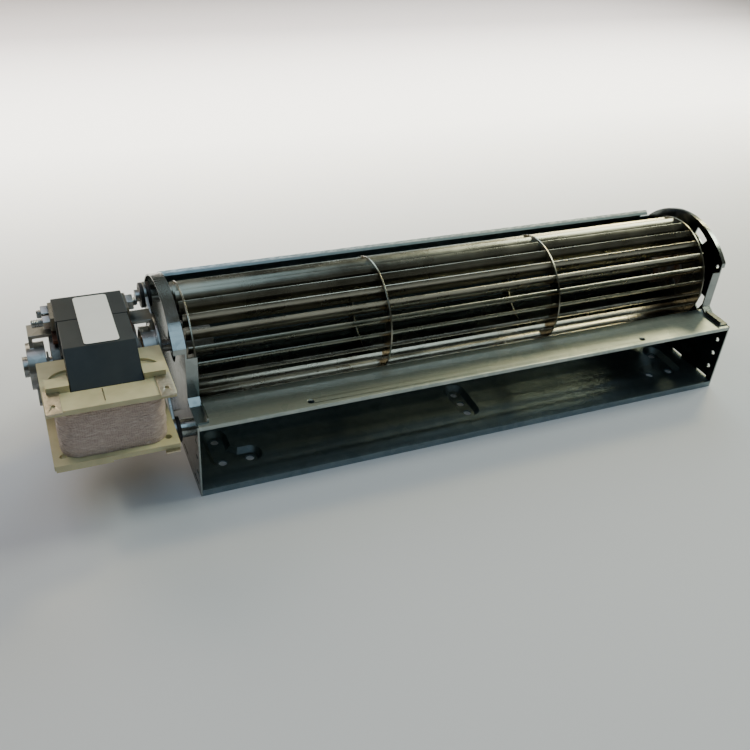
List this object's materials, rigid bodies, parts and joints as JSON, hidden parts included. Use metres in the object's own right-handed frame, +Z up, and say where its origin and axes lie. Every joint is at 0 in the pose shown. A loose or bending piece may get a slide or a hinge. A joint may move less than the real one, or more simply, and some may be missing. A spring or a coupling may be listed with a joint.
{
  "type": "tangential blower with shaded-pole motor",
  "caption": "Long tangential blower: bladed drum wheel in a folded sheet scroll with a wide rectangular outlet, driven by a shaded-pole motor on its left end plate.",
  "frame": {"origin": "centre of the bounding box, on the plane that the housing stands on", "axes": "+X along the shaft from the motor to the free end of the wheel, +Y from the outlet to the back, +Z up"},
  "size_m": [0.3726, 0.1036, 0.086],
  "materials": {
    "galvanised_sheet": "zinc spangle, satin",
    "wheel_aluminium": "rolled, dull satin",
    "hub_metal": "turned, satin",
    "bright_steel": "ground, bright",
    "zinc_fasteners": "zinc plated, bright",
    "black_oxide": "blackened",
    "lamination": "dark varnish over stacked laminations, satin",
    "rotor_iron": "turned laminations",
    "copper": "bare copper",
    "former_plastic": "moulded cream plastic",
    "coil_tape": "thin wound tape, matt",
    "tinned_terminal": "tinned, satin",
    "bracket_steel": "zinc plated, satin",
    "sintered_bronze": "sintered, matt",
    "felt": "felt",
    "washer_plastic": "moulded",
    "black_rubber": "matt",
    "white_label": "bare white film"
  },
  "bodies": {
    "blower_body": {"scroll_shell": "galvanised_sheet", "shelf": "galvanised_sheet", "side_plate_left": "galvanised_sheet", "side_plate_right": "galvanised_sheet", "stack_screws": "zinc_fasteners", "stack_nuts": "zinc_fasteners", "earth_screw": "zinc_fasteners", "earth_nut": "zinc_fasteners", "mount_rivets": "zinc_fasteners", "mount_screws": "zinc_fasteners", "stator_pole_stack": "lamination", "stator_coil_stack": "lamination", "shading_ring_top": "copper", "shading_ring_bottom": "copper", "coil_winding": "copper", "coil_former": "former_plastic", "coil_tape": "coil_tape", "terminal_left": "tinned_terminal", "terminal_right": "tinned_terminal", "terminal_lower": "tinned_terminal", "bearing_bracket_left": "bracket_steel", "bearing_bracket_right": "bracket_steel", "bearing_cap": "bracket_steel", "motor_mount_bracket": "bracket_steel", "bearing_bush_left": "sintered_bronze", "bearing_bush_right": "sintered_bronze", "end_bearing_bush": "sintered_bronze", "oil_felt_left": "felt", "oil_felt_right": "felt", "end_bearing_rubber": "black_rubber", "mount_rubber_upper": "black_rubber", "mount_rubber_lower": "black_rubber", "rating_label": "white_label"},
    "rotor": {"wheel_blades": "wheel_aluminium", "wheel_disc_left": "wheel_aluminium", "wheel_disc_right": "wheel_aluminium", "wheel_ring_left": "wheel_aluminium", "wheel_ring_right": "wheel_aluminium", "wheel_hub_left": "hub_metal", "wheel_hub_right": "hub_metal", "hub_rivets": "zinc_fasteners", "hub_set_screw": "black_oxide", "stub_shaft": "bright_steel", "motor_shaft": "bright_steel", "rotor_core": "rotor_iron", "rotor_cage": "hub_metal", "thrust_washer_left": "washer_plastic", "thrust_washer_right": "washer_plastic"}
  },
  "joints": [
    {"name": "rotor_spin", "type": "hinge", "parent": "blower_body", "child": "rotor", "pos_m": [-0.1147, 0.0083, 0.0536], "axis": [-1, 0, 0], "continuous": true}
  ]
}
